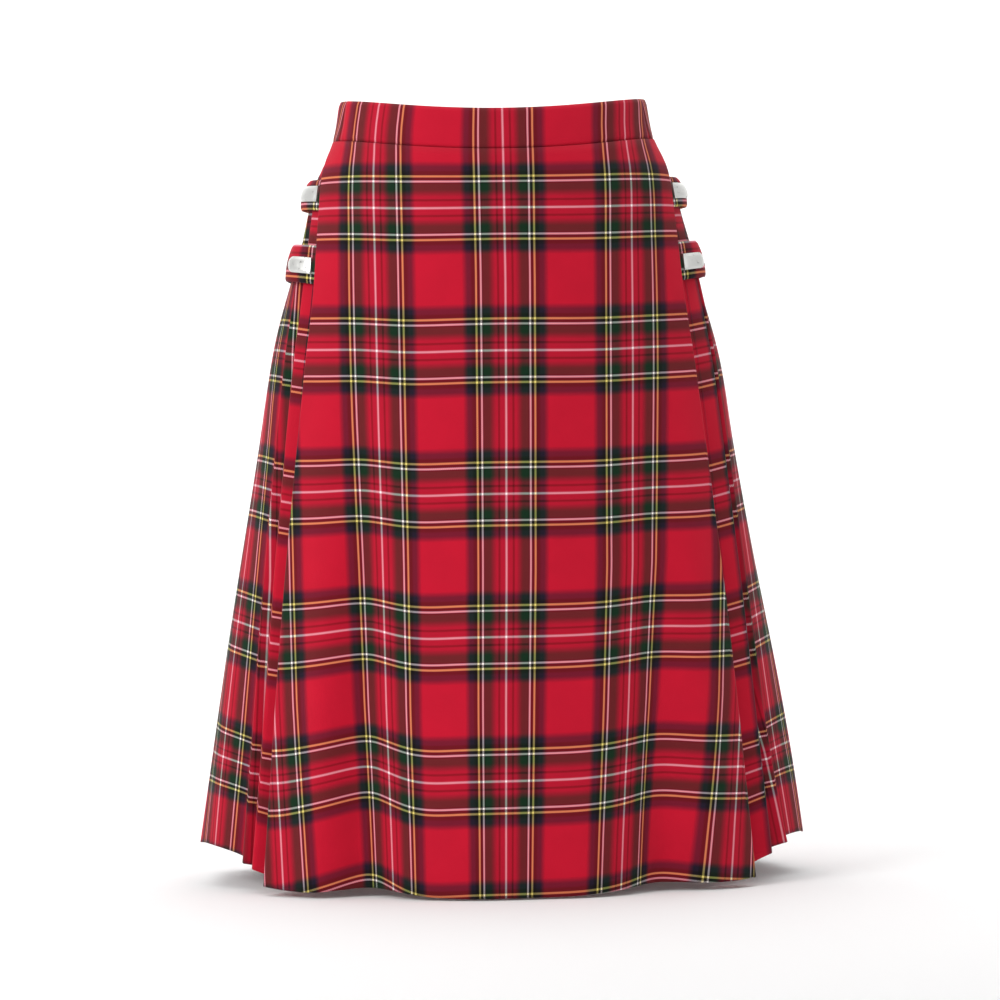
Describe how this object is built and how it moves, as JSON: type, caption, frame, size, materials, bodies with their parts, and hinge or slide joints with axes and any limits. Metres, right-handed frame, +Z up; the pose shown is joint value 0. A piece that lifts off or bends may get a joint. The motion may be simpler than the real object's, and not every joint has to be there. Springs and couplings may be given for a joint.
{
  "type": "skirt",
  "caption": "Pleated tartan midi skirt with a flat front panel, a plain waistband and clasped straps at its sides, open at the waist and the hem.",
  "frame": {"origin": "middle of the waist, at half the height of the waistband's sides", "axes": "+Z up out of the waist, -Y to the skirt's front, +X to the right of someone who looks at its front"},
  "size_m": [0.5482, 0.3762, 0.701],
  "materials": {
    "tartan": "matt wool twill",
    "strap_tartan": "matt wool twill",
    "clasp_metal": "polished"
  },
  "bodies": {
    "root": {"waistband_front": "tartan", "waistband_back": "tartan", "front_panel": "tartan", "pleats_left": "tartan", "pleats_right": "tartan", "strap_upper_left": "strap_tartan", "strap_upper_right": "strap_tartan", "strap_lower_left": "strap_tartan", "strap_lower_right": "strap_tartan", "clasp_upper_left": "clasp_metal", "clasp_upper_right": "clasp_metal", "clasp_lower_left": "clasp_metal", "clasp_lower_right": "clasp_metal"}
  },
  "joints": []
}
